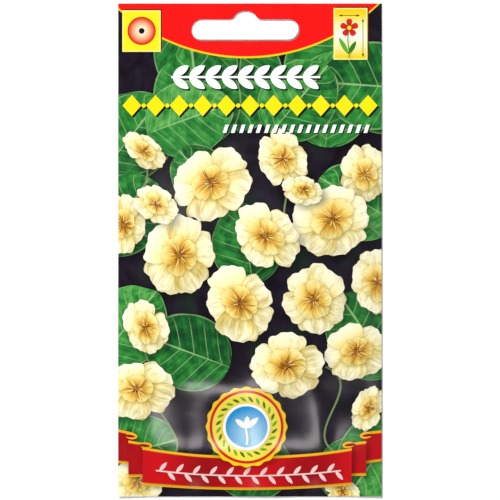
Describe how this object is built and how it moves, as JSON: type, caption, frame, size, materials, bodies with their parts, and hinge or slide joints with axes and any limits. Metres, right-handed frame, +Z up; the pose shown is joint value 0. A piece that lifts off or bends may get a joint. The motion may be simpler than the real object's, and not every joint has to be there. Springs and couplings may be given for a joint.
{
  "type": "seed packet",
  "caption": "Flat printed film seed packet with a hang slot, nasturtium seeds sealed inside, lying on its back.",
  "frame": {"origin": "under the middle of the packet, on the surface that it lies on", "axes": "+X across the packet to the right of the print, +Y up the print towards the hang slot, +Z up out of the printed front"},
  "size_m": [0.077, 0.144, 0.0084],
  "materials": {
    "printed_film": "gloss",
    "plain_film": "satin",
    "seed_husk": "matte"
  },
  "bodies": {
    "root": {"front_panel": "printed_film", "back_panel": "plain_film", "seed_1": "seed_husk", "seed_2": "seed_husk", "seed_3": "seed_husk", "seed_4": "seed_husk", "seed_5": "seed_husk", "seed_6": "seed_husk", "seed_7": "seed_husk", "seed_8": "seed_husk"}
  },
  "joints": []
}
